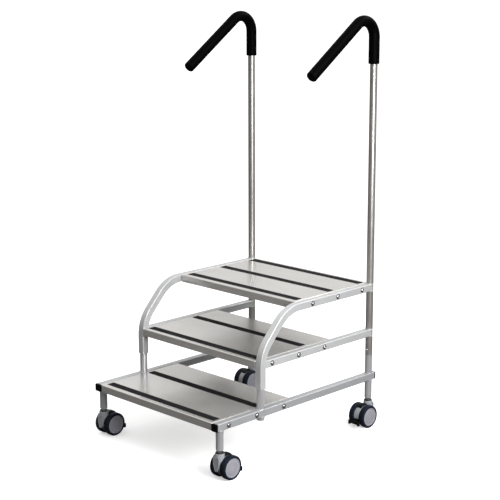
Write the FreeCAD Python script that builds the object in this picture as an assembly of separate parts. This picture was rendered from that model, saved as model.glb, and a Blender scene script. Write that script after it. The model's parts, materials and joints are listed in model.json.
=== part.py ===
"""Mobile three-tread step stool with two handrails on four braked twin-wheel castors.

Millimetres, +Z up. X runs left to right, Y from the foot of the steps to the back,
and the origin is on the floor under the middle of the frame.
"""
import FreeCAD, Part
import math
import os

from FreeCAD import Vector

# ---------------------------------------------------------------- driving dimensions
FRAME_WIDTH = 600.0            # over the outer faces of the two side frames
FRAME_DEPTH = 775.0            # front end plug to rear end plug
TREAD_HEIGHTS = (190.0, 350.0, 512.0)
TREAD_FRONTS = (4.5, 196.5, 381.0)       # from the front plug's face
TREAD_DEPTHS = (352.0, 361.0, 376.0)

SQUARE = 25.0                  # square tube, also the round tube's diameter
WALL = 1.5
SQUARE_CORNER = 2.5
ROUND_RADIUS = SQUARE / 2

FRONT_LEG_Y = 25.0             # axes of the upright tubes, from the front plug's face
FRONT_POST_Y = 209.0
REAR_POST_Y = 750.0
LEG_BOTTOM_Z = 100.0
POST_STUB = 12.0               # how far the front post shows below the base rail
JOINT_Z = 257.0                # where the upper side frames plug onto the base

ARCH_KNEE_Z = 373.0            # where the arch's upright and incline would cross
ARCH_INCLINE = 47.0            # degrees above level
ARCH_BEND = 125.0

HANDLE_BEND_Z = 1354.0         # the handrail leaves the vertical here
HANDLE_BEND = 55.0
HANDLE_DROOP = 35.5            # degrees below level
HANDLE_STRAIGHT = 277.0
GRIP_RADIUS = 18.5
GRIP_START_Z = 1266.0
GRIP_END_WALL = 6.0
GRIP_NOSE_FILLET = 7.0
GRIP_MOUTH_FILLET = 2.0

SHEET = 1.5                    # tread sheet
FLANGE = 25.0                  # down-turned edge of a tread
TREAD_SIDE_GAP = 1.0
TREAD_BEND = 3.0

STRIP_LENGTH = 524.0
STRIP_WIDTH = 28.0
STRIP_THICKNESS = 0.8
STRIP_CORNER = 2.5
STRIP_OFFSETS = ((32.0, 216.5), (31.0, 237.0), (34.0, 193.0, 347.5))

SCREW_PITCH = 126.0
SCREW_RADIUS = 3.0
SCREW_HEAD_RADIUS = 6.5
SCREW_HEAD_HEIGHT = 3.2
SCREW_LENGTH = 38.0
SCREW_HOLE_RADIUS = 3.3
NUT_RADIUS = 4.4
NUT_FLANGE_RADIUS = 6.0
NUT_FLANGE = 1.0
NUT_LENGTH = 12.0

PLUG_FLANGE = 6.5
PLUG_DEPTH = 14.0
PLUG_ROUNDING = 1.4
SPIGOT_LENGTH = 80.0
SPIGOT_WALL = 2.0

WHEEL_RADIUS = 40.0
WHEEL_TRAIL = 26.0             # swivel axis to wheel axle
WHEEL_INNER = 11.0             # castor's middle plane to a wheel's inner face
WHEEL_OUTER = 33.0
HUB_RADIUS = 32.0
AXLE_RADIUS = 4.0
AXLE_HALF_LENGTH = 27.5
RUNNING_CLEARANCE = 0.05

# ---------------------------------------------------------------- derived places
HALF_WIDTH = FRAME_WIDTH / 2
TUBE_X = HALF_WIDTH - SQUARE / 2
HALF_DEPTH = FRAME_DEPTH / 2
RAIL_TOP = TREAD_HEIGHTS[0]
RAIL_Z = RAIL_TOP - SQUARE / 2
TOP_RAIL_Z = TREAD_HEIGHTS[2] - SQUARE / 2
MIDDLE_RAIL_Z = TREAD_HEIGHTS[1] - SQUARE / 2
SIDES = (("left", -1.0), ("right", 1.0))
TREAD_NAMES = ("bottom", "middle", "top")
X_AXIS = Vector(1, 0, 0)
Y_AXIS = Vector(0, 1, 0)
Z_AXIS = Vector(0, 0, 1)


def from_front(distance):
    """Y of a place given by its distance behind the front plug's face."""
    return distance - HALF_DEPTH


# ---------------------------------------------------------------- helpers
def save(name, *solids):
    """Write one node; several solids make one group."""
    shape = solids[0] if len(solids) == 1 else Part.makeCompound(list(solids))
    shape.exportStep("parts/%s.step" % name)


def block(low, high):
    size = Vector(*high) - Vector(*low)
    return Part.makeBox(size.x, size.y, size.z, Vector(*low))


def rod(radius, start, direction, length):
    return Part.makeCylinder(radius, length, Vector(*start), direction)


def pipe(outer, inner, start, direction, length):
    return rod(outer, start, direction, length).cut(rod(inner, start, direction, length))


def extruded_outline(wire, offset, thickness):
    """A prism of a closed outline drawn in a YZ plane, from x = offset."""
    face = Part.Face(wire)
    face.translate(Vector(offset, 0, 0))
    return face.extrude(Vector(thickness, 0, 0))


def rounded_square_wire(side, corner, centre, normal):
    """A square with round corners, square to the given normal (Y or Z)."""
    half = side / 2
    flat = half - corner
    edges = []
    for quarter in range(4):
        turn = math.radians(90 * quarter)
        cos, sin = math.cos(turn), math.sin(turn)

        def place(u, v):
            return Vector(u * cos - v * sin, u * sin + v * cos, 0)

        diagonal = flat + corner * math.sqrt(0.5)
        edges.append(Part.makeLine(place(half, -flat), place(half, flat)))
        arc = Part.Arc(place(half, flat), place(diagonal, diagonal), place(flat, half))
        edges.append(arc.toShape())
    wire = Part.Wire(Part.__sortEdges__(edges))
    if normal == "y":
        wire.rotate(Vector(0, 0, 0), X_AXIS, -90)
    wire.translate(centre)
    return wire


def square_section(centre, normal, filled=False):
    """The face that is swept into a square tube, or into its filled outline."""
    outer = rounded_square_wire(SQUARE, SQUARE_CORNER, centre, normal)
    if filled:
        return Part.Face(outer)
    inner = rounded_square_wire(SQUARE - 2 * WALL, SQUARE_CORNER - WALL, centre, normal)
    return Part.Face(outer).cut(Part.Face(inner)).Faces[0]


def round_section(outer, inner, centre):
    ring = Part.Face(Part.Wire(Part.makeCircle(outer, centre, Z_AXIS)))
    if inner:
        ring = ring.cut(Part.Face(Part.Wire(Part.makeCircle(inner, centre, Z_AXIS)))).Faces[0]
    return ring


def swept(section, centre, steps):
    """Sweep a level face up from centre: each step is a length or a (radius, angle) bend.

    A bend of positive angle turns the path towards +Y, and a negative one towards -Y.
    """
    face = section.copy()
    point = Vector(centre)
    heading = 0.0
    pieces = []
    for step in steps:
        direction = Vector(0, math.sin(heading), math.cos(heading))
        if isinstance(step, tuple):
            radius, angle = step
            side = 1 if angle > 0 else -1
            hub = point + Vector(0, math.cos(heading), -math.sin(heading)) * radius * side
            pieces.append(face.revolve(hub, X_AXIS, -angle))
            face.rotate(hub, X_AXIS, -angle)
            turned = Part.Vertex(point)
            turned.rotate(hub, X_AXIS, -angle)
            point = turned.Point
            heading += math.radians(angle)
        else:
            pieces.append(face.extrude(direction * step))
            face.translate(direction * step)
            point += direction * step
    whole = pieces[0].fuse(pieces[1:]) if len(pieces) > 1 else pieces[0]
    return whole.removeSplitter().Solids[0]


def square_tube_y(x, z, start, end):
    """A level square tube running front to back between two distances from the front."""
    face = square_section(Vector(x, from_front(start), z), "y")
    return face.extrude(Vector(0, end - start, 0))


def post_cutter(x, distance):
    """The filled outline of an upright round tube, for shaping what is welded to it."""
    return rod(ROUND_RADIUS, (x, from_front(distance), 0), Z_AXIS, 2000)


def only_solid(shape):
    """The main solid of a cut shape; nothing bigger than a sliver may be left out."""
    main_solid = max(shape.Solids, key=lambda solid: solid.Volume)
    if main_solid.Volume < 0.98 * shape.Volume:
        raise ValueError("a cut has split this part in two")
    return main_solid


# ---------------------------------------------------------------- base frame
def screw_distances(index):
    """Distances of a tread's three screws from the front."""
    first = TREAD_FRONTS[index] + (TREAD_DEPTHS[index] - 2 * SCREW_PITCH) / 2
    return [first + SCREW_PITCH * number for number in range(3)]


def drilled(tube, index):
    """Cut one tread's screw holes through a side tube."""
    height = TREAD_HEIGHTS[index] - SQUARE / 2
    for distance in screw_distances(index):
        start = (-HALF_WIDTH - 1, from_front(distance), height)
        tube = tube.cut(rod(SCREW_HOLE_RADIUS, start, X_AXIS, FRAME_WIDTH + 2))
    return only_solid(tube)


COPE_STOP = 3.0                # a shaped tube end stops this short of the post's axis


def base_rails():
    """Each side's rail is three lengths of square tube shaped to the two posts."""
    tails = []
    for side, sign in SIDES:
        x = sign * TUBE_X
        front_end = FRONT_POST_Y - COPE_STOP
        front = square_tube_y(x, RAIL_Z, PLUG_FLANGE, front_end)
        front = front.cut(post_cutter(x, FRONT_POST_Y))
        save("base_rail_front_" + side, drilled(front, 0))

        rear_start = FRONT_POST_Y + COPE_STOP
        rear_end = REAR_POST_Y - COPE_STOP
        rear = square_tube_y(x, RAIL_Z, rear_start, rear_end)
        rear = rear.cut(post_cutter(x, FRONT_POST_Y)).cut(post_cutter(x, REAR_POST_Y))
        save("base_rail_rear_" + side, drilled(rear, 0))

        tail = square_tube_y(x, RAIL_Z, REAR_POST_Y + COPE_STOP, FRAME_DEPTH - PLUG_FLANGE)
        tails.append(only_solid(tail.cut(post_cutter(x, REAR_POST_Y))))
    save("base_rail_tails", *tails)


def rail_plug(x, front):
    """A black end plug: a flange over the tube's end and a body pushed inside."""
    body_side = SQUARE - 2 * WALL
    body_corner = SQUARE_CORNER - WALL
    face_y = 0.0 if front else FRAME_DEPTH - PLUG_FLANGE
    wire = rounded_square_wire(SQUARE, SQUARE_CORNER, Vector(x, from_front(face_y), RAIL_Z), "y")
    flange = Part.Face(wire).extrude(Vector(0, PLUG_FLANGE, 0))
    outer_face_y = from_front(0.0 if front else FRAME_DEPTH)
    rim = []
    for edge in flange.Edges:
        if abs(edge.CenterOfMass.y - outer_face_y) < 1e-6:
            rim.append(edge)
    flange = flange.makeFillet(PLUG_ROUNDING, rim)
    depth = PLUG_DEPTH if front else FRAME_DEPTH - PLUG_FLANGE - REAR_POST_Y - ROUND_RADIUS
    body_y = PLUG_FLANGE if front else FRAME_DEPTH - PLUG_FLANGE - depth
    inner = rounded_square_wire(body_side, body_corner, Vector(x, from_front(body_y), RAIL_Z), "y")
    body = Part.Face(inner).extrude(Vector(0, depth, 0))
    return flange.fuse(body).removeSplitter().Solids[0]


def posts_and_legs():
    for side, sign in SIDES:
        x = sign * TUBE_X
        inner = ROUND_RADIUS - WALL
        leg_start = (x, from_front(FRONT_LEG_Y), LEG_BOTTOM_Z)
        leg_length = RAIL_TOP - SQUARE - LEG_BOTTOM_Z
        save("front_leg_" + side, pipe(ROUND_RADIUS, inner, leg_start, Z_AXIS, leg_length))

        stub_bottom = RAIL_TOP - SQUARE - POST_STUB
        post_start = (x, from_front(FRONT_POST_Y), stub_bottom)
        post_length = JOINT_Z - stub_bottom
        save("front_post_" + side, pipe(ROUND_RADIUS, inner, post_start, Z_AXIS, post_length))

        rear_start = (x, from_front(REAR_POST_Y), LEG_BOTTOM_Z)
        rear_length = JOINT_Z - LEG_BOTTOM_Z
        save("rear_post_" + side, pipe(ROUND_RADIUS, inner, rear_start, Z_AXIS, rear_length))


# ---------------------------------------------------------------- upper side frames
JOINT_SCREW_RISE = 18.0        # joint screw above the joint
JOINT_SCREW_RADIUS = 2.5
JOINT_HEAD_RADIUS = 4.8
JOINT_HEAD_HEIGHT = 2.4
JOINT_SCREW_LENGTH = 9.0
SADDLE_DEPTH = 2.0             # the head's hollow underside on a round tube


def joint_screw_hole(x, distance, radius):
    """A drill that passes one wall only: the front wall at the back, the rear wall in front."""
    outward = -1.0 if distance == REAR_POST_Y else 1.0
    start = (x, from_front(distance), JOINT_Z + JOINT_SCREW_RISE)
    return rod(radius, start, Vector(0, outward, 0), SQUARE)


def arch_steps():
    """The arch goes up, leans back, then runs level to the rear post."""
    lower_turn = 90.0 - ARCH_INCLINE
    lower_tangent = ARCH_BEND * math.tan(math.radians(lower_turn / 2))
    upper_tangent = ARCH_BEND * math.tan(math.radians(ARCH_INCLINE / 2))
    rise = TOP_RAIL_Z - ARCH_KNEE_Z
    incline = rise / math.sin(math.radians(ARCH_INCLINE)) - lower_tangent - upper_tangent
    upper_corner = FRONT_POST_Y + rise / math.tan(math.radians(ARCH_INCLINE))
    upright = ARCH_KNEE_Z - lower_tangent - JOINT_Z
    level = REAR_POST_Y - COPE_STOP - upper_corner - upper_tangent
    return [upright, (ARCH_BEND, lower_turn), incline, (ARCH_BEND, ARCH_INCLINE), level]


def side_frames():
    for side, sign in SIDES:
        x = sign * TUBE_X
        foot = Vector(x, from_front(FRONT_POST_Y), JOINT_Z)
        arch = swept(square_section(foot, "z"), foot, arch_steps())
        arch = arch.cut(post_cutter(x, REAR_POST_Y))
        arch = arch.cut(joint_screw_hole(x, FRONT_POST_Y, JOINT_SCREW_RADIUS))
        save("side_arch_" + side, drilled(arch, 2))

        filled_arch = swept(square_section(foot, "z", filled=True), foot, arch_steps())
        rail = square_tube_y(x, MIDDLE_RAIL_Z, FRONT_POST_Y, REAR_POST_Y - COPE_STOP)
        rail = rail.cut(filled_arch).cut(post_cutter(x, REAR_POST_Y))
        save("middle_rail_" + side, drilled(rail, 1))


def handrails():
    """The rear post carries on up as a handrail that bends over towards the climber."""
    rise = HANDLE_BEND_Z - JOINT_Z
    bend = (HANDLE_BEND, -(90.0 + HANDLE_DROOP))
    tube_end = HANDLE_STRAIGHT - GRIP_END_WALL
    for side, sign in SIDES:
        x = sign * TUBE_X
        foot = Vector(x, from_front(REAR_POST_Y), JOINT_Z)
        section = round_section(ROUND_RADIUS, ROUND_RADIUS - WALL, foot)
        tube = swept(section, foot, [rise, bend, tube_end])
        tube = tube.cut(joint_screw_hole(x, REAR_POST_Y, JOINT_SCREW_RADIUS))
        save("handrail_" + side, only_solid(tube))

        start = Vector(x, from_front(REAR_POST_Y), GRIP_START_Z)
        grip_rise = HANDLE_BEND_Z - GRIP_START_Z
        outer = swept(round_section(GRIP_RADIUS, 0, start), start, [grip_rise, bend, HANDLE_STRAIGHT])
        outer = rounded_ends(outer)
        core = swept(round_section(ROUND_RADIUS, 0, start), start, [grip_rise, bend, tube_end])
        save("grip_" + side, only_solid(outer.cut(core)))


def rim_circles(grip):
    """The full circles round a grip, from its foremost to its rearmost."""
    circles = []
    for edge in grip.Edges:
        curve = edge.Curve
        if isinstance(curve, Part.Circle) and abs(curve.Radius - GRIP_RADIUS) < 1e-6:
            if edge.isClosed():
                circles.append(edge)
    return sorted(circles, key=lambda edge: edge.CenterOfMass.y)


def rounded_ends(grip):
    """Round the closed nose of a grip strongly and its open mouth slightly."""
    grip = grip.makeFillet(GRIP_NOSE_FILLET, [rim_circles(grip)[0]])
    mouth = min(rim_circles(grip), key=lambda edge: abs(edge.CenterOfMass.z - GRIP_START_Z))
    return grip.makeFillet(GRIP_MOUTH_FILLET, [mouth])


def joint_hardware():
    """Spigots inside the four joints, each locked by one button-head screw."""
    spigots = []
    screws = []
    spigot_radius = ROUND_RADIUS - WALL
    for _side, sign in SIDES:
        x = sign * TUBE_X
        for distance in (FRONT_POST_Y, REAR_POST_Y):
            y = from_front(distance)
            start = (x, y, JOINT_Z - SPIGOT_LENGTH / 2)
            spigot = pipe(spigot_radius, spigot_radius - SPIGOT_WALL, start, Z_AXIS, SPIGOT_LENGTH)
            spigots.append(spigot.cut(joint_screw_hole(x, distance, JOINT_SCREW_RADIUS)))

            outward = -1.0 if distance == REAR_POST_Y else 1.0
            seat = (x, y + outward * ROUND_RADIUS, JOINT_Z + JOINT_SCREW_RISE)
            head = button_head(JOINT_HEAD_RADIUS, JOINT_HEAD_HEIGHT, seat, Vector(0, outward, 0))
            shank = rod(JOINT_SCREW_RADIUS, seat, Vector(0, -outward, 0), JOINT_SCREW_LENGTH)
            if distance == REAR_POST_Y:
                saddle = rod(JOINT_HEAD_RADIUS, seat, Vector(0, -outward, 0), SADDLE_DEPTH)
                head = head.fuse(saddle.cut(post_cutter(x, distance)))
            screws.append(only_solid(head.fuse(shank).removeSplitter()))
    save("post_spigots", *spigots)
    save("joint_screws", *screws)


def button_head(radius, height, seat, direction):
    """A low domed screw head with a hexagon socket."""
    head = rod(radius, seat, direction, height)
    far = Vector(*seat) + direction * height
    rim = []
    for edge in head.Edges:
        if edge.isClosed() and (edge.CenterOfMass - far).Length < 1e-6:
            rim.append(edge)
    head = head.makeFillet(height * 0.8, rim)
    socket = hexagon(radius * 0.36, far, direction, height * 0.6)
    return head.cut(socket)


def hexagon(radius, top, direction, depth):
    corners = []
    side = direction.cross(Z_AXIS)
    for number in range(7):
        turn = math.radians(60 * number)
        corners.append(top + side * radius * math.cos(turn) + Z_AXIS * radius * math.sin(turn))
    return Part.Face(Part.makePolygon(corners)).extrude(direction * -depth)


# ---------------------------------------------------------------- treads
def tread_tray(index):
    """A folded sheet tray: flat top and four down-turned edges, with screw holes."""
    half = HALF_WIDTH - SQUARE - TREAD_SIDE_GAP
    top = TREAD_HEIGHTS[index]
    front = from_front(TREAD_FRONTS[index])
    back = front + TREAD_DEPTHS[index]
    outer = block((-half, front, top - FLANGE), (half, back, top))
    outer = outer.makeFillet(TREAD_BEND, upper_and_corner_edges(outer, top))
    inside = (-half + SHEET, front + SHEET, top - FLANGE - 1)
    inner = block(inside, (half - SHEET, back - SHEET, top - SHEET))
    inner = inner.makeFillet(TREAD_BEND - SHEET, upper_and_corner_edges(inner, top - SHEET))
    tray = outer.cut(inner)
    for distance in screw_distances(index):
        start = (-half - 1, from_front(distance), top - SQUARE / 2)
        tray = tray.cut(rod(NUT_RADIUS, start, X_AXIS, 2 * half + 2))
    return only_solid(tray)


def upper_and_corner_edges(box, top):
    """Edges of a block that a sheet is folded round: its top rim and its four corners."""
    chosen = []
    for edge in box.Edges:
        heights = [vertex.Z for vertex in edge.Vertexes]
        if min(heights) > top - 1e-6 or abs(heights[0] - heights[1]) > 1e-6:
            chosen.append(edge)
    return chosen


def strip(index, offset):
    """An anti-slip strip stuck across a tread."""
    middle = from_front(TREAD_FRONTS[index] + offset)
    top = TREAD_HEIGHTS[index]
    low = (-STRIP_LENGTH / 2, middle - STRIP_WIDTH / 2, top)
    high = (STRIP_LENGTH / 2, middle + STRIP_WIDTH / 2, top + STRIP_THICKNESS)
    body = block(low, high)
    corners = [edge for edge in body.Edges if abs(edge.Vertexes[0].Z - edge.Vertexes[1].Z) > 0.1]
    return body.makeFillet(STRIP_CORNER, corners)


def treads():
    screws = []
    nuts = []
    strips = []
    flange_x = HALF_WIDTH - SQUARE - TREAD_SIDE_GAP - SHEET
    for index, name in enumerate(TREAD_NAMES):
        save("tread_" + name, tread_tray(index))
        for offset in STRIP_OFFSETS[index]:
            strips.append(strip(index, offset))
        height = TREAD_HEIGHTS[index] - SQUARE / 2
        for distance in screw_distances(index):
            y = from_front(distance)
            for _side, sign in SIDES:
                outward = Vector(sign, 0, 0)
                seat = (sign * HALF_WIDTH, y, height)
                head = button_head(SCREW_HEAD_RADIUS, SCREW_HEAD_HEIGHT, seat, outward)
                shank = rod(SCREW_RADIUS, seat, outward * -1, SCREW_LENGTH)
                screws.append(only_solid(head.fuse(shank).removeSplitter()))
                nuts.append(rivet_nut(sign, flange_x, y, height))
    save("anti_slip_strips", *strips)
    save("tread_screws", *screws)
    save("rivet_nuts", *nuts)


def rivet_nut(sign, flange_x, y, height):
    """A rivet nut set in a tread's side edge: a sleeve with a bulge clamped behind the sheet."""
    inward = Vector(-sign, 0, 0)
    outer_face = (sign * (flange_x + SHEET), y, height)
    sleeve = rod(NUT_RADIUS, outer_face, inward, NUT_LENGTH)
    bulge = rod(NUT_FLANGE_RADIUS, (sign * flange_x, y, height), inward, NUT_FLANGE)
    bore = rod(SCREW_RADIUS + RUNNING_CLEARANCE, outer_face, inward, NUT_LENGTH)
    return only_solid(sleeve.fuse(bulge).cut(bore).removeSplitter())


# ---------------------------------------------------------------- castors
# A castor is drawn with its swivel axis on x = y = 0, trailing towards +Y.
STEM_RADIUS = 5.5
SWIVEL_PIN_RADIUS = 5.0
SWIVEL_PIN_BOTTOM = 56.0
COLLAR_RADIUS = 10.0
COLLAR_BOTTOM = 92.3
SEAL_RADIUS = 13.5
SEAL_BOTTOM = 89.3
HEAD_RADIUS = 15.5
HEAD_TOP = 89.0
HEAD_BOTTOM = 80.0
SKIRT_RADIUS = 16.2
SKIRT_BOTTOM = 52.0
SOCKET_LENGTH = 30.0
HOOD_HALF = 10.0
HOOD_RADIUS = 37.0
HOOD_SKIN = 3.0
WHEEL_CLEARANCE = 1.2
SLOT_HALF = 6.2
PEDAL_HALF = 5.7
PEDAL_PIVOT = (44.0, 36.0)
EYE_RADIUS = 6.5
TRUNNION_RADIUS = 3.0
TRUNNION_HALF_LENGTH = 9.5
BAR_HALF = 24.0
BAR_FRONT, BAR_BACK = 69.0, 78.0
BAR_TOP, BAR_BOTTOM, CLAW_BOTTOM = 30.0, 19.0, 13.5
AXLE_POINT = (WHEEL_TRAIL, WHEEL_RADIUS)


def on_hood(degrees, radius):
    """A point on a circle round the axle, as (y, z)."""
    turn = math.radians(degrees)
    return (AXLE_POINT[0] + radius * math.cos(turn), AXLE_POINT[1] + radius * math.sin(turn))


def side_line(start, end):
    return Part.makeLine(Vector(0, *start), Vector(0, *end))


def side_arc(start, middle, end):
    return Part.Arc(Vector(0, *start), Vector(0, *middle), Vector(0, *end)).toShape()


def hood():
    """The housing between the wheels: head, skirt, curved back and tapering front shield."""
    tip = on_hood(-6, HOOD_RADIUS)
    crest = on_hood(115, HOOD_RADIUS)
    shoulder = (-14.5, HEAD_BOTTOM + 2)
    chin = (-15.5, 50.0)
    toe = (-4.0, 29.0)
    heel = (44.0, 27.5)
    nape = (13.0, HEAD_BOTTOM + 2)
    outline = Part.Wire([
        side_line(shoulder, chin),
        side_arc(chin, (-12.5, 36.5), toe),
        side_line(toe, heel),
        side_line(heel, tip),
        side_arc(tip, on_hood(55, HOOD_RADIUS), crest),
        side_line(crest, nape),
        side_line(nape, shoulder),
    ])
    body = extruded_outline(outline, -HOOD_HALF, 2 * HOOD_HALF)
    shape = body.fuse([head_and_skirt(), front_shield()])
    shape = shape.cut(pedal_slot())
    bore = rod(SWIVEL_PIN_RADIUS + RUNNING_CLEARANCE, (0, 0, SWIVEL_PIN_BOTTOM - 2), Z_AXIS, 60)
    shape = shape.cut(bore)
    shape = shape.cut(rod(AXLE_RADIUS, (-20, *AXLE_POINT), X_AXIS, 40))
    shape = shape.cut(rod(TRUNNION_RADIUS + RUNNING_CLEARANCE, (-20, *PEDAL_PIVOT), X_AXIS, 40))
    return only_solid(shape.removeSplitter())


def head_and_skirt():
    """The round head, and the skirt below it that is scooped out over both wheels."""
    head = rod(HEAD_RADIUS, (0, 0, HEAD_BOTTOM), Z_AXIS, HEAD_TOP - HEAD_BOTTOM)
    rim = [edge for edge in head.Edges if edge.isClosed() and edge.CenterOfMass.z > HEAD_TOP - 1]
    head = head.makeChamfer(1.0, rim)
    skirt = Part.makeCone(SKIRT_RADIUS, HEAD_RADIUS, HEAD_BOTTOM - SKIRT_BOTTOM,
                          Vector(0, 0, SKIRT_BOTTOM))
    for start in (HOOD_HALF, -HOOD_HALF - 20):
        scoop = rod(WHEEL_RADIUS + WHEEL_CLEARANCE, (start, *AXLE_POINT), X_AXIS, 20)
        skirt = skirt.cut(scoop)
    under_axle = block((-30, AXLE_POINT[0], 0), (30, 100, 200))
    return head.fuse(skirt.cut(under_axle))


def front_shield():
    """A tongue in front of the wheels, wide under the head and narrow at its tip."""
    front, back = -17.0, -14.9
    wide, narrow = 13.0, 5.5
    top, waist, bottom = 80.0, 54.0, 31.0
    points = [(-wide, top), (-wide, waist), (-narrow, bottom), (narrow, bottom),
              (wide, waist), (wide, top), (-wide, top)]
    face = Part.Face(Part.makePolygon([Vector(x, front, z) for x, z in points]))
    plate = face.extrude(Vector(0, back - front, 0))
    upright_edges = []
    for edge in plate.Edges:
        middle = edge.CenterOfMass
        if abs(middle.y - (front + back) / 2) < 1e-6:
            upright_edges.append(edge)
    return plate.makeFillet(4.0, upright_edges)


def pedal_slot():
    """The pocket in the hood's lower back that the brake pedal swings in."""
    start_y, roof = 34.0, 48.0
    inside = block((-SLOT_HALF, start_y, 20), (SLOT_HALF, 70, roof))
    inside = inside.common(rod(HOOD_RADIUS - HOOD_SKIN, (-20, *AXLE_POINT), X_AXIS, 40))
    mouth = block((-SLOT_HALF, start_y, 20), (SLOT_HALF, 80, 35.5))
    return inside.fuse(mouth)


def brake_pedal():
    """A foot bar behind both wheels on an arm with two trunnions."""
    y, z = PEDAL_PIVOT
    eye = rod(EYE_RADIUS, (-PEDAL_HALF, y, z), X_AXIS, 2 * PEDAL_HALF)
    arm_points = [(y, z + 6.4), (60.0, 33.5), (BAR_FRONT + 2, BAR_TOP), (BAR_FRONT + 2, 20.0),
                  (58.0, 24.0), (y, z - 6.4), (y, z + 6.4)]
    arm_wire = Part.makePolygon([Vector(0, *point) for point in arm_points])
    arm = extruded_outline(arm_wire, -PEDAL_HALF, 2 * PEDAL_HALF)
    claw = 5.0
    half = [(0, BAR_TOP), (BAR_HALF, BAR_TOP), (BAR_HALF, CLAW_BOTTOM + 2),
            (BAR_HALF - claw, CLAW_BOTTOM), (BAR_HALF - 2 * claw, BAR_BOTTOM)]
    bar_points = half + [(-px, pz) for px, pz in reversed(half)]
    bar_face = Part.Face(Part.makePolygon([Vector(px, BAR_FRONT, pz) for px, pz in bar_points]))
    bar = bar_face.extrude(Vector(0, BAR_BACK - BAR_FRONT, 0))
    bar = bar.makeFillet(1.8, [edge for edge in bar.Edges if edge.Length > 0.1])
    trunnions = rod(TRUNNION_RADIUS, (-TRUNNION_HALF_LENGTH, y, z), X_AXIS, 2 * TRUNNION_HALF_LENGTH)
    return only_solid(eye.fuse([arm, bar, trunnions]).removeSplitter())


def wheel_ring(profile, sign):
    """Turn an outline of (radius, distance from the castor's middle) round the axle."""
    wire = Part.makePolygon([Vector(sign * x, AXLE_POINT[0], AXLE_POINT[1] + r) for r, x in profile])
    return Part.Face(wire).revolve(Vector(0, *AXLE_POINT), X_AXIS, 360)


def tyre(sign):
    """A soft tread ring with round shoulders."""
    outline = [(HUB_RADIUS, WHEEL_INNER + 1), (WHEEL_RADIUS, WHEEL_INNER + 1),
               (WHEEL_RADIUS, WHEEL_OUTER), (HUB_RADIUS, WHEEL_OUTER),
               (HUB_RADIUS, WHEEL_INNER + 1)]
    ring = wheel_ring(outline, sign)
    shoulders = []
    for edge in ring.Edges:
        curve = edge.Curve
        if isinstance(curve, Part.Circle) and abs(curve.Radius - WHEEL_RADIUS) < 1e-6:
            shoulders.append(edge)
    return ring.makeFillet(4.0, shoulders).Solids[0]


def hub(sign):
    """A wheel centre: closed outer disc, rim and a boss that runs on the axle."""
    face_x = WHEEL_OUTER - 1.5
    disc = 3.0
    rim = 3.5
    boss = 9.0
    bore = AXLE_RADIUS + RUNNING_CLEARANCE
    bottom = face_x - disc
    outline = [(0, bottom), (bore, bottom), (bore, WHEEL_INNER), (boss, WHEEL_INNER),
               (boss, bottom), (HUB_RADIUS - rim, bottom), (HUB_RADIUS - rim, WHEEL_INNER + 2),
               (HUB_RADIUS, WHEEL_INNER + 2), (HUB_RADIUS, face_x), (0, face_x), (0, bottom)]
    return wheel_ring(outline, sign).Solids[0]


def placed(shape, x, distance, backward):
    """Put a castor piece under a leg; the rear castors are turned to trail forward."""
    moved = shape.copy()
    if backward:
        moved.rotate(Vector(0, 0, 0), Z_AXIS, 180)
    moved.translate(Vector(x, from_front(distance), 0))
    return moved


def castors():
    stems = []
    sockets = []
    seals = []
    stem = rod(STEM_RADIUS, (0, 0, LEG_BOTTOM_Z), Z_AXIS, SOCKET_LENGTH - 3)
    collar = rod(COLLAR_RADIUS, (0, 0, COLLAR_BOTTOM), Z_AXIS, LEG_BOTTOM_Z - COLLAR_BOTTOM)
    pin = rod(SWIVEL_PIN_RADIUS, (0, 0, SWIVEL_PIN_BOTTOM), Z_AXIS, COLLAR_BOTTOM - SWIVEL_PIN_BOTTOM)
    stem = stem.fuse([collar, pin]).removeSplitter().Solids[0]
    socket = pipe(ROUND_RADIUS - WALL, STEM_RADIUS, (0, 0, LEG_BOTTOM_Z), Z_AXIS, SOCKET_LENGTH)
    seal = pipe(SEAL_RADIUS, SWIVEL_PIN_RADIUS, (0, 0, SEAL_BOTTOM), Z_AXIS,
                COLLAR_BOTTOM - SEAL_BOTTOM)
    pieces = {
        "hood": hood(),
        "axle": rod(AXLE_RADIUS, (-AXLE_HALF_LENGTH, *AXLE_POINT), X_AXIS, 2 * AXLE_HALF_LENGTH),
        "pedal": brake_pedal(),
    }
    for side, sign in SIDES:
        for end, distance in (("front", FRONT_LEG_Y), ("rear", REAR_POST_Y)):
            backward = end == "rear"
            where = (sign * TUBE_X, distance, backward)
            stems.append(placed(stem, *where))
            sockets.append(placed(socket, *where))
            seals.append(placed(seal, *where))
            castor = "castor_%s_%s_" % (end, side)
            for name, shape in pieces.items():
                save(castor + name, placed(shape, *where))
            outward = -sign if backward else sign
            for name, wheel_sign in (("outer", outward), ("inner", -outward)):
                save(castor + "tyre_" + name, placed(tyre(wheel_sign), *where))
                save(castor + "hub_" + name, placed(hub(wheel_sign), *where))
    save("castor_stems", *stems)
    save("stem_sockets", *sockets)
    save("swivel_seals", *seals)


def main():
    os.makedirs("parts", exist_ok=True)
    base_rails()
    plugs = []
    for _side, sign in SIDES:
        for front in (True, False):
            plugs.append(rail_plug(sign * TUBE_X, front))
    save("rail_end_plugs", *plugs)
    posts_and_legs()
    side_frames()
    handrails()
    joint_hardware()
    treads()
    castors()


main()
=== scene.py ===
"""Looks of the mobile step stool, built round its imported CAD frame.

Blender works in metres here; MM turns a size in millimetres into metres. X runs left to
right, Y from the foot of the steps to the back, and Z is up.
"""

import json
import math

import bmesh
import bpy
from mathutils import Matrix, Vector


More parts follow.
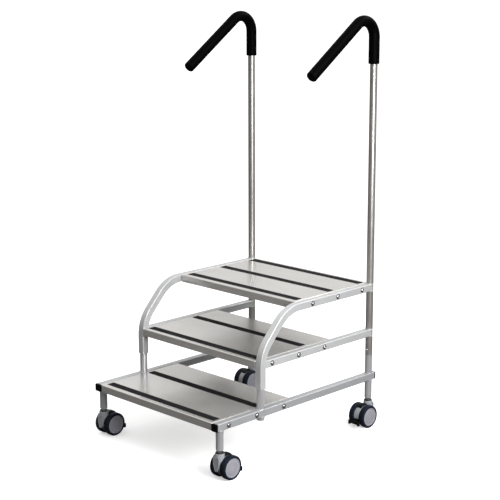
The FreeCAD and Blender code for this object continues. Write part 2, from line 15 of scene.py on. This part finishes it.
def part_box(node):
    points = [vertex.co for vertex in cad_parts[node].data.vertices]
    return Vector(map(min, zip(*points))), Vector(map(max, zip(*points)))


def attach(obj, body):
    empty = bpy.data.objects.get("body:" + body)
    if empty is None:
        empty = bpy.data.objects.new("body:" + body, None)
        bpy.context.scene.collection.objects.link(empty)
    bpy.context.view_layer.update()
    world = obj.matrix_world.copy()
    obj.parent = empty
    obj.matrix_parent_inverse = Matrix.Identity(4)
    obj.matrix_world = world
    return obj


MM = 0.001
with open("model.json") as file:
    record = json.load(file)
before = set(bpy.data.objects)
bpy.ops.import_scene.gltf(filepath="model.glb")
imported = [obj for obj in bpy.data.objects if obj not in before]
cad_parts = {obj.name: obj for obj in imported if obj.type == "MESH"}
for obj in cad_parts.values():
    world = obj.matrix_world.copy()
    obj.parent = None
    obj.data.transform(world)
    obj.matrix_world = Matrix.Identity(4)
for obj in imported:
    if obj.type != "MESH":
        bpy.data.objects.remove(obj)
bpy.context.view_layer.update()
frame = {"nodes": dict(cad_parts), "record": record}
NODES = frame["nodes"]
ENDS = ("front", "rear")
SIDES = ("left", "right")
CASTORS = ["castor_%s_%s" % (end, side) for end in ENDS for side in SIDES]


# ---------------------------------------------------------------- camera
# Places are in metres, angles in degrees, and the lens and its sensor in millimetres.
CAMERA_PLACE = (3.150, -3.105, 1.611)
CAMERA_AZIMUTH = 44.83
CAMERA_ELEVATION = 12.35
CAMERA_ROLL = -0.11
CAMERA_LENS = 95.96
SENSOR_WIDTH = 36.0
FARTHEST_SEEN = 300.0


def camera():
    data = bpy.data.cameras.new("camera")
    data.lens = CAMERA_LENS
    data.sensor_width = SENSOR_WIDTH
    data.clip_end = FARTHEST_SEEN
    shot = bpy.data.objects.new("camera", data)
    bpy.context.scene.collection.objects.link(shot)
    turn = Matrix.Rotation(math.radians(CAMERA_AZIMUTH), 4, "Z")
    tilt = Matrix.Rotation(math.radians(90.0 - CAMERA_ELEVATION), 4, "X")
    roll = Matrix.Rotation(math.radians(CAMERA_ROLL), 4, "Z")
    shot.matrix_world = Matrix.Translation(CAMERA_PLACE) @ turn @ tilt @ roll
    bpy.context.scene.camera = shot


# ---------------------------------------------------------------- node helpers
class Nodes:
    """Short calls that add nodes to a tree and link them."""

    def __init__(self, tree):
        self.tree = tree

    def node(self, kind, **settings):
        made = self.tree.nodes.new(kind)
        for name, value in settings.items():
            setattr(made, name, value)
        return made

    def feed(self, socket, value):
        """Link a node's output to a socket, or set the socket to a plain value."""
        if isinstance(value, bpy.types.NodeSocket):
            self.tree.links.new(value, socket)
        else:
            socket.default_value = value

    def spread(self, value, low, high, to_low=0.0, to_high=1.0):
        """Map a value's low..high onto to_low..to_high, clamped."""
        node = self.node("ShaderNodeMapRange")
        self.feed(node.inputs["Value"], value)
        for name, number in (("From Min", low), ("From Max", high),
                             ("To Min", to_low), ("To Max", to_high)):
            node.inputs[name].default_value = number
        return node.outputs["Result"]

    def maths(self, operation, first, second):
        """Work on two values, with the result held within 0..1."""
        node = self.node("ShaderNodeMath", operation=operation, use_clamp=True)
        self.feed(node.inputs[0], first)
        self.feed(node.inputs[1], second)
        return node.outputs[0]

    def dot(self, first, second):
        node = self.node("ShaderNodeVectorMath", operation="DOT_PRODUCT")
        self.feed(node.inputs[0], first)
        self.feed(node.inputs[1], second)
        return node.outputs["Value"]

    def mix(self, share, first, second):
        """Blend two colours, each a node's output or an (r, g, b)."""
        node = self.node("ShaderNodeMix", data_type="RGBA")
        self.feed(node.inputs["Factor"], share)
        for socket, colour in ((node.inputs[6], first), (node.inputs[7], second)):
            self.feed(socket, colour if isinstance(colour, bpy.types.NodeSocket) else (*colour, 1))
        return node.outputs[2]


SOCKETS = {
    "metallic": "Metallic",
    "shine": "Specular IOR Level",
    "coat": "Coat Weight",
    "coat_roughness": "Coat Roughness",
    "glow": "Emission Strength",
}
EDGE_SAMPLES = 8
FLAT_COSINE = 0.97
SHARP_COSINE = 0.75
NOISE_LOW = 0.3
NOISE_HIGH = 0.7
WHITE = (1, 1, 1, 1)


class Finish(Nodes):
    """A node material: a Principled shader, and short calls that add what feeds it."""

    def __init__(self, name):
        self.material = bpy.data.materials.new(name)
        self.material.use_nodes = True
        super().__init__(self.material.node_tree)
        self.shader = self.tree.nodes["Principled BSDF"]
        self.place = self.node("ShaderNodeTexCoord").outputs["Object"]

    def set(self, **values):
        """Plain numbers straight onto the shader's own sockets."""
        for name, value in values.items():
            self.shader.inputs[SOCKETS[name]].default_value = value

    def noise(self, size_mm, detail, stretch=(1, 1, 1)):
        """Noise whose grains are about size_mm across, longer along a stretched axis."""
        mapping = self.node("ShaderNodeMapping")
        self.feed(mapping.inputs["Vector"], self.place)
        mapping.inputs["Scale"].default_value = [1 / factor for factor in stretch]
        noise = self.node("ShaderNodeTexNoise")
        self.feed(noise.inputs["Vector"], mapping.outputs["Vector"])
        noise.inputs["Scale"].default_value = 1 / (size_mm * MM)
        noise.inputs["Detail"].default_value = detail
        return noise.outputs["Fac"]

    def drift(self, size_mm, detail, to_low=0.0, to_high=1.0):
        """Noise that wanders over the whole of to_low..to_high."""
        return self.spread(self.noise(size_mm, detail), NOISE_LOW, NOISE_HIGH, to_low, to_high)

    def cells(self, size_mm):
        """Distance to the nearest point of a random scatter, about size_mm apart."""
        cells = self.node("ShaderNodeTexVoronoi")
        self.feed(cells.inputs["Vector"], self.place)
        cells.inputs["Scale"].default_value = 1 / (size_mm * MM)
        return cells.outputs["Distance"]

    def edges(self, radius_mm):
        """How near an edge a point is, from the way its normal turns within a radius."""
        bevel = self.node("ShaderNodeBevel", samples=EDGE_SAMPLES)
        bevel.inputs["Radius"].default_value = radius_mm * MM
        flat = self.node("ShaderNodeNewGeometry").outputs["Normal"]
        return self.spread(self.dot(bevel.outputs["Normal"], flat), FLAT_COSINE, SHARP_COSINE)

    def bump(self, height, depth_mm):
        """Relief on the whole surface, whose height of 1 stands depth_mm proud."""
        bump = self.node("ShaderNodeBump")
        bump.inputs["Strength"].default_value = 1.0
        bump.inputs["Distance"].default_value = depth_mm * MM
        self.feed(bump.inputs["Height"], height)
        self.feed(self.shader.inputs["Normal"], bump.outputs["Normal"])

    def done(self, colour, roughness):
        self.feed(self.shader.inputs["Base Color"], colour)
        self.feed(self.shader.inputs["Roughness"], roughness)
        return self.material


def shade(colour, factor, lift=0.0):
    """A colour made darker or lighter."""
    return tuple(min(1.0, channel * factor + lift) for channel in colour)


# ---------------------------------------------------------------- materials
def powder_coat(name, colour, metallic, roughness, peel_mm):
    """Satin silver coat: fine orange peel, a little colour drift, and patchy brighter edges that
    are partly rubbed wear and partly a painted highlight.
    """
    finish = Finish(name)
    coat = finish.mix(finish.drift(90, 2), shade(colour, 0.93), colour)
    patchy = finish.spread(finish.noise(14, 4), 0.38, 0.62)
    # Brighter edges in patches: partly rubbed wear, partly a painted highlight along the tube
    # corners.
    lighter_edges = finish.maths("MULTIPLY", finish.edges(0.8), patchy)
    coat = finish.mix(lighter_edges, coat, shade(colour, 1.25))
    finish.bump(finish.noise(1.6, 2), peel_mm)
    finish.set(metallic=metallic, coat=0.2, coat_roughness=0.12)
    smear = finish.spread(finish.noise(45, 2), 0.35, 0.7, roughness - 0.03, roughness + 0.06)
    return finish.done(coat, smear)


def tread_metal(name):
    """Smooth satin sheet with broad soft scuffs, and folds brightened as a painted highlight."""
    finish = Finish(name)
    base = finish.mix(finish.drift(160, 2), (0.63, 0.615, 0.59), (0.67, 0.66, 0.645))
    scuffs = finish.spread(finish.noise(60, 2, stretch=(3, 1, 1)), 0.5, 0.8)
    base = finish.mix(finish.maths("MULTIPLY", scuffs, 0.3), base, (0.57, 0.56, 0.55))
    # Painted highlight: the folded edges are lightened towards near white.
    base = finish.mix(finish.edges(0.6), base, (0.85, 0.84, 0.83))
    finish.bump(finish.noise(30, 1), 0.005)
    finish.set(metallic=0.72)
    return finish.done(base, finish.drift(90, 2, 0.22, 0.27))


def grit(name):
    """Anti-slip tape: mineral grains in black resin, greyer where feet have worn it."""
    finish = Finish(name)
    grains = finish.cells(0.9)
    speck = finish.spread(grains, 0.05, 0.45)
    tone = finish.mix(speck, (0.016, 0.016, 0.018), (0.005, 0.005, 0.006))
    worn = finish.spread(finish.noise(60, 4), 0.5, 0.8)
    tone = finish.mix(finish.maths("MULTIPLY", worn, 0.35), tone, (0.030, 0.029, 0.028))
    finish.bump(finish.maths("SUBTRACT", 1.0, grains), 0.30)
    finish.set(shine=0.12)
    return finish.done(tone, 0.8)


def soft_rubber(name, colour, roughness, shine):
    """Smooth dark rubber with a faint leathery skin and slightly paler edges."""
    finish = Finish(name)
    mottled = finish.maths("MULTIPLY", finish.drift(18, 4), 0.5)
    base = finish.mix(mottled, colour, shade(colour, 1.4, 0.0005))
    # Edges rubbed paler by wear.
    lighter_edges = finish.maths("MULTIPLY", finish.edges(0.4), 0.5)
    base = finish.mix(lighter_edges, base, shade(colour, 1.8, 0.003))
    finish.bump(finish.cells(0.8), 0.03)
    finish.set(shine=shine)
    return finish.done(base, finish.drift(30, 3, roughness - 0.05, roughness + 0.08))


def moulded(name, colour, roughness, shine):
    """Moulded plastic with spark-eroded grain and slightly paler edges."""
    finish = Finish(name)
    base = finish.mix(finish.drift(25, 3), shade(colour, 0.92), colour)
    # Edges rubbed paler by wear.
    lighter_edges = finish.maths("MULTIPLY", finish.edges(0.35), 0.6)
    base = finish.mix(lighter_edges, base, shade(colour, 1.3, 0.003))
    finish.bump(finish.noise(0.45, 3), 0.03)
    finish.set(shine=shine)
    return finish.done(base, finish.drift(12, 3, roughness - 0.04, roughness + 0.06))


def plated(name, colour, roughness):
    """Bright plated steel with turning marks, handling dullness and a painted highlight on its
    edges.
    """
    finish = Finish(name)
    stain = finish.spread(finish.noise(8, 4), 0.4, 0.75)
    base = finish.mix(stain, colour, shade(colour, 0.8))
    # Painted highlight: edges lightened towards near white.
    base = finish.mix(finish.edges(0.25), base, (0.9, 0.9, 0.9))
    finish.bump(finish.noise(0.3, 2, stretch=(6, 6, 1)), 0.01)
    finish.set(metallic=1.0)
    return finish.done(base, finish.drift(5, 3, roughness - 0.04, roughness + 0.08))


# Every roughness drifts wholly above or wholly below 0.274. There the denoiser changes how it
# reads a surface, and a finish that crossed it would show a thin wandering line.
MATERIALS = {
    "base_frame_paint": powder_coat("base_frame_paint", (0.46, 0.465, 0.48), 0.50, 0.31, 0.004),
    "upper_frame_paint": powder_coat("upper_frame_paint", (0.54, 0.545, 0.55), 0.40, 0.31, 0.004),
    # The handrails' paint is a darker, browner version of the frame paint: painted shade for the
    # dimmer light along them.
    "shaded_handrail_paint": powder_coat("shaded_handrail_paint", (0.41, 0.40, 0.38), 0.80, 0.36, 0.002),
    "tread_metal": tread_metal("tread_metal"),
    "anti_slip": grit("anti_slip"),
    "grip_sleeve": soft_rubber("grip_sleeve", (0.0008, 0.0008, 0.0009), 0.45, 0.02),
    "end_plug": moulded("end_plug", (0.002, 0.002, 0.0022), 0.48, 0.08),
    "bright_steel": plated("bright_steel", (0.66, 0.66, 0.67), 0.19),
    "stem_chrome": plated("stem_chrome", (0.70, 0.70, 0.70), 0.14),
    "black_plastic": moulded("black_plastic", (0.003, 0.003, 0.0034), 0.38, 0.18),
    "castor_hood": moulded("castor_hood", (0.30, 0.31, 0.33), 0.21, 0.7),
    "tyre": soft_rubber("tyre", (0.007, 0.010, 0.017), 0.40, 0.06),
    "castor_hub": moulded("castor_hub", (0.27, 0.265, 0.30), 0.34, 0.45),
}
HANDRAILS = ("handrail_left", "handrail_right")


def dress_frame():
    """Give every CAD node the material of its record slot; the handrails instead take a darker,
    browner paint, painted shade for the dimmer light on them.
    """
    for part in frame["record"]["subparts"]:
        mesh = NODES[part["node"]].data
        mesh.materials.clear()
        name = "shaded_handrail_paint" if part["node"] in HANDRAILS else part["material_slot"]
        mesh.materials.append(MATERIALS[name])


# ---------------------------------------------------------------- mesh helpers
# Edges that turn by more than these degrees are drawn sharp.
SHARP_EDGE = 35.0
SHARP_BEAD_EDGE = 60.0
TUBE_SIDES = 8
RIPPLE_PITCH = 2.2 * MM


def centre(node):
    low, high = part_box(node)
    return (low + high) / 2


def piece(name, points, faces, body, slot, sharp_degrees=SHARP_EDGE):
    """A mesh piece in metres that rides on a body and takes a slot's material."""
    mesh = bpy.data.meshes.new(name)
    mesh.from_pydata(points, [], faces)
    work = bmesh.new()
    work.from_mesh(mesh)
    bmesh.ops.recalc_face_normals(work, faces=work.faces)
    work.to_mesh(mesh)
    work.free()
    mesh.polygons.foreach_set("use_smooth", [True] * len(mesh.polygons))
    mesh.set_sharp_from_angle(angle=math.radians(sharp_degrees))
    mesh.materials.append(MATERIALS[slot])
    made = bpy.data.objects.new(name, mesh)
    bpy.context.scene.collection.objects.link(made)
    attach(made, body)


def ring_faces(rings, size, closed=False):
    """Faces between equal loops of points laid one after another.

    When closed, the last loop joins the first. Otherwise both ends are capped.
    """
    faces = []
    for ring in range(rings if closed else rings - 1):
        near = ring * size
        far = (ring + 1) % rings * size
        for index in range(size):
            other = (index + 1) % size
            faces.append((near + index, near + other, far + other, far + index))
    if not closed:
        faces.append(tuple(range(size)))
        faces.append(tuple(range((rings - 1) * size, rings * size)))
    return faces


def shifted(faces, first):
    """The same faces, for points that begin at a later number."""
    return [tuple(first + corner for corner in face) for face in faces]


def circle(x, y, z, radius, around):
    """Points of a circle about an axis that runs along X through (x, y, z)."""
    points = []
    for step in range(around):
        turn = 2 * math.pi * step / around
        points.append((x, y + radius * math.cos(turn), z + radius * math.sin(turn)))
    return points


def tube(route, radius, closed=False, ripple=0.0):
    """Points and faces of a tube along a route, its radius rippled like a weld bead."""
    count = len(route)
    points = []
    travelled = 0.0
    for index, here in enumerate(route):
        before = route[index - 1] if index or closed else here
        after = route[(index + 1) % count] if index + 1 < count or closed else here
        along = (after - before).normalized()
        across = along.orthogonal() if abs(along.z) > 0.9 else along.cross(Vector((0, 0, 1)))
        across.normalize()
        upward = across.cross(along)
        if index:
            travelled += (here - route[index - 1]).length
        size = radius * (1 + ripple * math.sin(2 * math.pi * travelled / RIPPLE_PITCH))
        for side in range(TUBE_SIDES):
            turn = 2 * math.pi * side / TUBE_SIDES
            points.append(here + (across * math.cos(turn) + upward * math.sin(turn)) * size)
    return points, ring_faces(count, TUBE_SIDES, closed)


def arc_route(middle, radius, start, end, steps):
    """Points on a level arc, from start to end in degrees."""
    route = []
    for step in range(steps):
        turn = math.radians(start + (end - start) * step / (steps - 1))
        route.append(middle + Vector((math.cos(turn), math.sin(turn), 0)) * radius)
    return route


def line_route(start, end, spacing):
    steps = max(2, round((end - start).length / spacing) + 1)
    return [start.lerp(end, step / (steps - 1)) for step in range(steps)]


# ---------------------------------------------------------------- welds
BEAD_RADIUS = 1.5 * MM
BEAD_RIPPLE = 0.14
BEAD_STEP = 0.7 * MM
BEAD_OFFSET = 0.4 * MM
SEAM_OFFSET = 1.0 * MM
# An arc's start and end in degrees, and how many points it has.
WHOLE_RING = (0, 357, 120)
FRONT_HALF = (180, 360, 60)


def bead(name, route, slot, closed=False):
    points, faces = tube(route, BEAD_RADIUS, closed, BEAD_RIPPLE)
    piece(name, points, faces, "frame", slot, SHARP_BEAD_EDGE)


def base_welds(side, x, radius):
    """Rings where the posts pass through a base rail, and at the top of its front leg."""
    low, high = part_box("base_rail_rear_" + side)
    for end in ENDS:
        y = centre("%s_post_%s" % (end, side)).y
        for level, z in (("upper", high.z), ("lower", low.z)):
            route = arc_route(Vector((x, y, z)), radius, *WHOLE_RING)
            bead("weld_%s_post_%s_%s" % (end, side, level), route, "base_frame_paint", True)
    leg = Vector((x, centre("front_leg_" + side).y, low.z))
    bead("weld_front_leg_" + side, arc_route(leg, radius, *WHOLE_RING), "base_frame_paint", True)


def rail_welds(kind, side, tread, x, half):
    """Beads round the coped end of an upper rail, where it meets the rear post."""
    name = "weld_%s_%s_" % (kind, side)
    rear = centre("rear_post_" + side).y
    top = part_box(tread)[1].z
    bottom = top - 2 * half
    for level, z in (("upper", top), ("lower", bottom)):
        route = arc_route(Vector((x, rear, z)), half + BEAD_OFFSET, *FRONT_HALF)
        bead(name + level, route, "upper_frame_paint")
    for edge in (-1, 1):
        seam_x = x + edge * half
        seam_y = rear + SEAM_OFFSET
        route = line_route(Vector((seam_x, seam_y, bottom)), Vector((seam_x, seam_y, top)),
                           BEAD_STEP)
        bead(name + ("outer" if edge * x > 0 else "inner"), route, "upper_frame_paint")


def welds():
    """Beads where tubes are welded: rings round the posts, and coped rail ends."""
    for side in SIDES:
        low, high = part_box("base_rail_rear_" + side)
        x = (low.x + high.x) / 2
        half = (high.x - low.x) / 2
        base_welds(side, x, half + BEAD_OFFSET)
        rail_welds("side_arch", side, "tread_top", x, half)
        rail_welds("middle_rail", side, "tread_middle", x, half)


# ---------------------------------------------------------------- dark rings round the screws (painted shade)
# The profile is (radius, distance out from the tube's face), in millimetres.
SHADE_RING_PROFILE = ((6.3, 0.0), (8.5, 0.0), (8.7, 0.25), (8.5, 0.5), (6.3, 0.5))
SHADE_RING_AROUND = 32
SCREW_PITCH = 126.0 * MM


def screw_shade_rings():
    """A thin dark ring under each tread screw's head: painted shade round its rim."""
    ring = ring_faces(len(SHADE_RING_PROFILE), SHADE_RING_AROUND, closed=True)
    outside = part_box("base_rail_rear_right")[1].x
    for tread in ("bottom", "middle", "top"):
        middle = centre("tread_" + tread)
        for side in SIDES:
            sign = -1.0 if side == "left" else 1.0
            points = []
            faces = []
            for number in (-1, 0, 1):
                faces += shifted(ring, len(points))
                y = middle.y + number * SCREW_PITCH
                for radius, proud in SHADE_RING_PROFILE:
                    x = sign * (outside + proud * MM)
                    points += circle(x, y, middle.z, radius * MM, SHADE_RING_AROUND)
            # Painted shade: a dark ring round each screw head, where the head meets the tube.
            piece("shade_rings_%s_%s" % (tread, side), points, faces, "frame", "black_plastic")


# ---------------------------------------------------------------- castor details
# A castor's pieces are drawn in millimetres with its swivel axis on x = y = 0, trailing
# towards +Y, like the CAD castor, and then placed.
AXLE_Y = 26.0
AXLE_Z = 40.0


def trail_of(castor):
    """1 where a castor trails towards the back, and -1 where it trails forwards."""
    return -1.0 if "_rear_" in castor else 1.0


def castor_place(castor, points):
    """Put points drawn for one castor where that castor stands."""
    axle = centre(castor + "_axle")
    trail = trail_of(castor)
    swivel = Vector((axle.x, axle.y - trail * AXLE_Y * MM, 0))
    placed = []
    for x, y, z in points:
        placed.append(swivel + Vector((trail * x, trail * y, z)) * MM)
    return placed


# The cap runs round the axle from CAP_START to CAP_END in degrees. Its radii are measured from
# the axle, and its section is (share of the half width, share of the height).
CAP_START = 56.0
CAP_END = 110.0
CAP_STEPS = 28
CAP_HALF_WIDTH = 9.2
CAP_INNER_RADIUS = 35.0
CAP_END_RADIUS = 37.2
CAP_RISE = 7.0
CAP_ROUNDNESS = 0.6
CAP_SECTION = ((-1.0, 0.0), (-1.0, 0.72), (-0.93, 0.88), (-0.78, 0.97), (-0.4, 1.0),
               (0.4, 1.0), (0.78, 0.97), (0.93, 0.88), (1.0, 0.72), (1.0, 0.0))


def brake_cap(castor):
    """A black hump over the hood's crest, between the tops of the wheels."""
    points = []
    for step in range(CAP_STEPS):
        share = step / (CAP_STEPS - 1)
        turn = math.radians(CAP_START + (CAP_END - CAP_START) * share)
        outer = CAP_END_RADIUS + CAP_RISE * math.sin(math.pi * share) ** CAP_ROUNDNESS
        for across, up in CAP_SECTION:
            radius = CAP_INNER_RADIUS + (outer - CAP_INNER_RADIUS) * up
            points.append((across * CAP_HALF_WIDTH, AXLE_Y + radius * math.cos(turn),
                           AXLE_Z + radius * math.sin(turn)))
    faces = ring_faces(CAP_STEPS, len(CAP_SECTION))
    piece(castor + "_brake_cap", castor_place(castor, points), faces, castor + "_swivel",
          "black_plastic")


RIM_OUTLINE = ((-12.2, 77.0), (-12.2, 55.0), (-5.4, 33.5), (-3.6, 31.9),
               (3.6, 31.9), (5.4, 33.5), (12.2, 55.0), (12.2, 77.0))
RIM_Y = -16.9
RIM_RADIUS = 0.75
RIM_STEP = 2.0


def shield_rim(castor):
    """The raised rim round the hood's front tongue."""
    corners = [Vector((x, RIM_Y, z)) for x, z in RIM_OUTLINE]
    route = []
    for start, end in zip(corners, corners[1:] + corners[:1]):
        route += line_route(start, end, RIM_STEP)[:-1]
    points, faces = tube(route, RIM_RADIUS, closed=True)
    piece(castor + "_hood_rim", castor_place(castor, points), faces, castor + "_swivel",
          "castor_hood")


# The hub's profile is (radius, distance from the castor's middle plane). Ribs stand upright
# across its disc, and those that would meet the centre dome are in two lengths.
HUB_PROFILE = ((31.6, 31.0), (31.4, 32.3), (30.8, 32.7), (29.4, 32.7), (28.6, 32.2), (28.2, 31.7),
               (26.0, 31.65), (25.4, 32.1), (24.6, 32.3), (5.2, 32.3), (4.8, 32.6), (4.0, 32.85),
               (2.0, 32.95))
HUB_AROUND = 72
RIB_SPACING = 4.2
RIB_HALF_WIDTH = 0.75
RIB_REACH = 23.0
RIB_FOOT = 32.0
RIB_TOP = 32.75
RIB_TAPER = 0.35
SHORTEST_RIB = 2.0
DOME_HALF_WIDTH = 6.5
DOME_CLEARANCE = 7.5


def rib_lengths(offset):
    """The (low, high) ends of the ribs that stand this far from the axle's plane."""
    reach = math.sqrt(RIB_REACH ** 2 - offset ** 2)
    lengths = [(-reach, reach)]
    if abs(offset) <= DOME_HALF_WIDTH:
        lengths = [(-reach, -DOME_CLEARANCE), (DOME_CLEARANCE, reach)]
    return [(low, high) for low, high in lengths if high - low >= SHORTEST_RIB]


def hub_face(castor, wheel, sign):
    """A wheel's moulded face: outer ring, groove, inner disc with ribs, and centre dome."""
    points = []
    for radius, x in HUB_PROFILE:
        points += circle(sign * x, AXLE_Y, AXLE_Z, radius, HUB_AROUND)
    faces = ring_faces(len(HUB_PROFILE), HUB_AROUND)
    number = int(RIB_REACH // RIB_SPACING)
    for index in range(-number, number + 1):
        middle = AXLE_Y + index * RIB_SPACING
        for low, high in rib_lengths(index * RIB_SPACING):
            faces += shifted(ring_faces(2, 4), len(points))
            for x, inset in ((RIB_FOOT, 0.0), (RIB_TOP, RIB_TAPER)):
                near = middle - (RIB_HALF_WIDTH - inset)
                far = middle + (RIB_HALF_WIDTH - inset)
                bottom = AXLE_Z + low + inset
                top = AXLE_Z + high - inset
                for y, z in ((near, bottom), (far, bottom), (far, top), (near, top)):
                    points.append((sign * x, y, z))
    piece("%s_hub_face_%s" % (castor, wheel), castor_place(castor, points), faces,
          "%s_wheel_%s" % (castor, wheel), "castor_hub")


def castor_details():
    for castor in CASTORS:
        brake_cap(castor)
        shield_rim(castor)
        swivel_x = centre(castor + "_axle").x
        for wheel in ("outer", "inner"):
            side = 1.0 if centre("%s_hub_%s" % (castor, wheel)).x > swivel_x else -1.0
            hub_face(castor, wheel, side * trail_of(castor))


# ---------------------------------------------------------------- studio
FLOOR_SIZE = 160.0
FLOOR_DROP = 0.0002
FLOOR_GLOW = 0.45
DOME_RADIUS = 75.0

DARK_SIDE = (0.37, 0.335, 0.31)
BACK_SIDE = (0.82, 0.81, 0.80)
BRIGHT_SIDE = (1.22, 1.24, 1.28)
OVERHEAD = (1.0, 1.0, 1.0)
BELOW = (0.13, 0.125, 0.12)
BACKWARDS = (-0.30, 0.95, 0.0)
RIGHTWARDS = (0.99, 0.10, 0.0)
UPWARDS = (0.0, 0.0, 1.0)

# Name, place, what it points at and size, all in metres, and power in watts.
SOFTBOXES = (
    ("key", (3.2, 0.6, 3.4), (0, 0, 0.5), (1.8, 1.8), 60),
    ("near_side", (1.7, -0.43, 1.0), (0.3, -0.3, 0.2), (0.7, 0.7), 32),
    ("back_strip", (0.7, 2.6, 3.0), (0, 0, 0.4), (1.2, 0.5), 18),
)


def floor():
    """A white paper sweep, softly lit from within so that it stays white far away."""
    bpy.ops.mesh.primitive_plane_add(size=FLOOR_SIZE, location=(0, 0, -FLOOR_DROP))
    ground = bpy.context.object
    ground.name = "floor"
    paper = Finish("floor_paper")
    tone = paper.mix(paper.noise(700, 2), (0.84, 0.84, 0.84), (0.86, 0.86, 0.86))
    paper.shader.inputs["Emission Color"].default_value = WHITE
    paper.set(glow=FLOOR_GLOW)
    ground.data.materials.append(paper.done(tone, 0.9))
    ground.visible_diffuse = False
    ground.visible_glossy = False


def backdrop():
    """A far white dome, seen only by the camera, so that no side shows a dark horizon."""
    work = bmesh.new()
    bmesh.ops.create_uvsphere(work, u_segments=48, v_segments=24, radius=DOME_RADIUS)
    mesh = bpy.data.meshes.new("backdrop")
    work.to_mesh(mesh)
    work.free()
    paper = Finish("backdrop")
    paper.shader.inputs["Base Color"].default_value = WHITE
    paper.shader.inputs["Emission Color"].default_value = WHITE
    paper.set(glow=1.0)
    mesh.materials.append(paper.material)
    dome = bpy.data.objects.new("backdrop", mesh)
    bpy.context.scene.collection.objects.link(dome)
    dome.visible_diffuse = False
    dome.visible_glossy = False
    dome.visible_transmission = False
    dome.visible_shadow = False


def surround():
    """A soft room: bright on the right, paler behind, dim and warm in front on the left."""
    world = bpy.data.worlds.new("studio")
    world.use_nodes = True
    room = Nodes(world.node_tree)
    direction = room.node("ShaderNodeTexCoord").outputs["Generated"]
    behind = room.spread(room.dot(direction, BACKWARDS), -0.3, 0.7)
    beside = room.spread(room.dot(direction, RIGHTWARDS), 0.15, 0.9)
    height = room.dot(direction, UPWARDS)
    sides = room.mix(behind, DARK_SIDE, BACK_SIDE)
    sides = room.mix(beside, sides, BRIGHT_SIDE)
    upper = room.mix(room.spread(height, 0.15, 0.8), sides, OVERHEAD)
    whole = room.mix(room.spread(height, 0.21, -0.05), upper, BELOW)
    room.feed(room.tree.nodes["Background"].inputs["Color"], whole)
    bpy.context.scene.world = world


def softbox(name, place, target, size, watts):
    data = bpy.data.lights.new(name, "AREA")
    data.shape = "RECTANGLE"
    data.size, data.size_y = size
    data.energy = watts
    lamp = bpy.data.objects.new(name, data)
    lamp.location = place
    lamp.rotation_euler = (Vector(target) - Vector(place)).to_track_quat("-Z", "Y").to_euler()
    bpy.context.scene.collection.objects.link(lamp)


def studio():
    floor()
    backdrop()
    surround()
    for settings in SOFTBOXES:
        softbox(*settings)
    bpy.context.scene.view_settings.view_transform = "Standard"


camera()
dress_frame()
welds()
screw_shade_rings()
castor_details()
studio()
